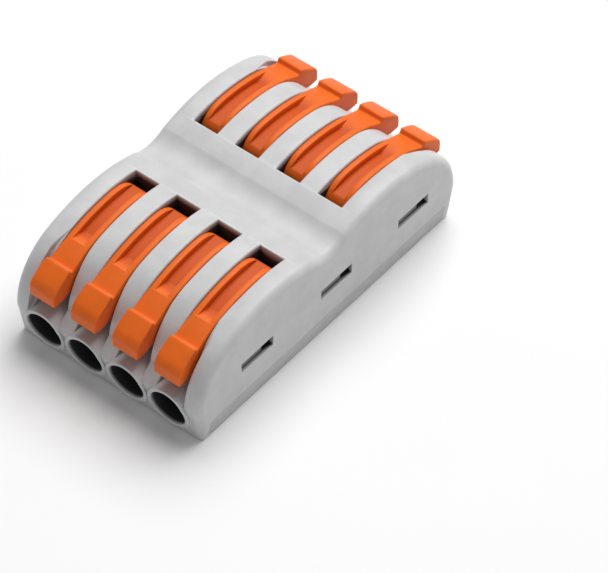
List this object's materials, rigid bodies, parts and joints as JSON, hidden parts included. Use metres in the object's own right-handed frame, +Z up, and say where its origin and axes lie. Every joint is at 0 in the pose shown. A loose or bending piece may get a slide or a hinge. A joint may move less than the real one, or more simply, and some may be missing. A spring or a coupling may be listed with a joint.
{
  "type": "lever wire connector",
  "caption": "Splicing wire connector with two facing rows of lever-worked cage clamps, round wire entries at both ends, a domed grey housing and a latched base plate.",
  "frame": {"origin": "middle of the underside, the bottom centre of the bounding box", "axes": "+X across the poles, +Y along the wires towards the rear wire entries, +Z up out of the lever side"},
  "size_m": [0.0256, 0.0446, 0.0135],
  "materials": {
    "housing_plastic": "light grey, satin",
    "base_plastic": "mid grey, satin",
    "lever_plastic": "orange, semi-gloss",
    "tinned_copper": "tin plate, dull",
    "spring_steel": "stainless strip, rolled"
  },
  "bodies": {
    "body": {"housing": "housing_plastic", "base_plate": "base_plastic", "busbar_1": "tinned_copper", "busbar_2": "tinned_copper", "busbar_3": "tinned_copper", "busbar_4": "tinned_copper"},
    "lever_front_1": {"lever_front_1": "lever_plastic"},
    "clamp_front_1": {"clamp_spring_front_1": "spring_steel"},
    "lever_front_2": {"lever_front_2": "lever_plastic"},
    "clamp_front_2": {"clamp_spring_front_2": "spring_steel"},
    "lever_front_3": {"lever_front_3": "lever_plastic"},
    "clamp_front_3": {"clamp_spring_front_3": "spring_steel"},
    "lever_front_4": {"lever_front_4": "lever_plastic"},
    "clamp_front_4": {"clamp_spring_front_4": "spring_steel"},
    "lever_rear_1": {"lever_rear_1": "lever_plastic"},
    "clamp_rear_1": {"clamp_spring_rear_1": "spring_steel"},
    "lever_rear_2": {"lever_rear_2": "lever_plastic"},
    "clamp_rear_2": {"clamp_spring_rear_2": "spring_steel"},
    "lever_rear_3": {"lever_rear_3": "lever_plastic"},
    "clamp_rear_3": {"clamp_spring_rear_3": "spring_steel"},
    "lever_rear_4": {"lever_rear_4": "lever_plastic"},
    "clamp_rear_4": {"clamp_spring_rear_4": "spring_steel"}
  },
  "joints": [
    {"name": "lever_front_1_hinge", "type": "hinge", "parent": "body", "child": "lever_front_1", "pos_m": [-0.00855, -0.0086, 0.01], "axis": [-1, 0, 0], "range_deg": [0, 90]},
    {"name": "clamp_front_1_flex", "type": "hinge", "parent": "body", "child": "clamp_front_1", "pos_m": [-0.00855, -0.0034, 0.00682], "axis": [1, 0, 0], "range_deg": [0, 19], "deforming": ["clamp_spring_front_1"]},
    {"name": "lever_front_2_hinge", "type": "hinge", "parent": "body", "child": "lever_front_2", "pos_m": [-0.00285, -0.0086, 0.01], "axis": [-1, 0, 0], "range_deg": [0, 90]},
    {"name": "clamp_front_2_flex", "type": "hinge", "parent": "body", "child": "clamp_front_2", "pos_m": [-0.00285, -0.0034, 0.00682], "axis": [1, 0, 0], "range_deg": [0, 19], "deforming": ["clamp_spring_front_2"]},
    {"name": "lever_front_3_hinge", "type": "hinge", "parent": "body", "child": "lever_front_3", "pos_m": [0.00285, -0.0086, 0.01], "axis": [-1, 0, 0], "range_deg": [0, 90]},
    {"name": "clamp_front_3_flex", "type": "hinge", "parent": "body", "child": "clamp_front_3", "pos_m": [0.00285, -0.0034, 0.00682], "axis": [1, 0, 0], "range_deg": [0, 19], "deforming": ["clamp_spring_front_3"]},
    {"name": "lever_front_4_hinge", "type": "hinge", "parent": "body", "child": "lever_front_4", "pos_m": [0.00855, -0.0086, 0.01], "axis": [-1, 0, 0], "range_deg": [0, 90]},
    {"name": "clamp_front_4_flex", "type": "hinge", "parent": "body", "child": "clamp_front_4", "pos_m": [0.00855, -0.0034, 0.00682], "axis": [1, 0, 0], "range_deg": [0, 19], "deforming": ["clamp_spring_front_4"]},
    {"name": "lever_rear_1_hinge", "type": "hinge", "parent": "body", "child": "lever_rear_1", "pos_m": [-0.00855, 0.0086, 0.01], "axis": [1, 0, 0], "range_deg": [0, 90]},
    {"name": "clamp_rear_1_flex", "type": "hinge", "parent": "body", "child": "clamp_rear_1", "pos_m": [-0.00855, 0.0034, 0.00682], "axis": [-1, 0, 0], "range_deg": [0, 19], "deforming": ["clamp_spring_rear_1"]},
    {"name": "lever_rear_2_hinge", "type": "hinge", "parent": "body", "child": "lever_rear_2", "pos_m": [-0.00285, 0.0086, 0.01], "axis": [1, 0, 0], "range_deg": [0, 90]},
    {"name": "clamp_rear_2_flex", "type": "hinge", "parent": "body", "child": "clamp_rear_2", "pos_m": [-0.00285, 0.0034, 0.00682], "axis": [-1, 0, 0], "range_deg": [0, 19], "deforming": ["clamp_spring_rear_2"]},
    {"name": "lever_rear_3_hinge", "type": "hinge", "parent": "body", "child": "lever_rear_3", "pos_m": [0.00285, 0.0086, 0.01], "axis": [1, 0, 0], "range_deg": [0, 90]},
    {"name": "clamp_rear_3_flex", "type": "hinge", "parent": "body", "child": "clamp_rear_3", "pos_m": [0.00285, 0.0034, 0.00682], "axis": [-1, 0, 0], "range_deg": [0, 19], "deforming": ["clamp_spring_rear_3"]},
    {"name": "lever_rear_4_hinge", "type": "hinge", "parent": "body", "child": "lever_rear_4", "pos_m": [0.00855, 0.0086, 0.01], "axis": [1, 0, 0], "range_deg": [0, 90]},
    {"name": "clamp_rear_4_flex", "type": "hinge", "parent": "body", "child": "clamp_rear_4", "pos_m": [0.00855, 0.0034, 0.00682], "axis": [-1, 0, 0], "range_deg": [0, 19], "deforming": ["clamp_spring_rear_4"]}
  ],
  "couplings": [
    {"joint": "clamp_front_1_flex", "follows": "lever_front_1_hinge", "ratio": 0.21111},
    {"joint": "clamp_front_2_flex", "follows": "lever_front_2_hinge", "ratio": 0.21111},
    {"joint": "clamp_front_3_flex", "follows": "lever_front_3_hinge", "ratio": 0.21111},
    {"joint": "clamp_front_4_flex", "follows": "lever_front_4_hinge", "ratio": 0.21111},
    {"joint": "clamp_rear_1_flex", "follows": "lever_rear_1_hinge", "ratio": 0.21111},
    {"joint": "clamp_rear_2_flex", "follows": "lever_rear_2_hinge", "ratio": 0.21111},
    {"joint": "clamp_rear_3_flex", "follows": "lever_rear_3_hinge", "ratio": 0.21111},
    {"joint": "clamp_rear_4_flex", "follows": "lever_rear_4_hinge", "ratio": 0.21111}
  ]
}
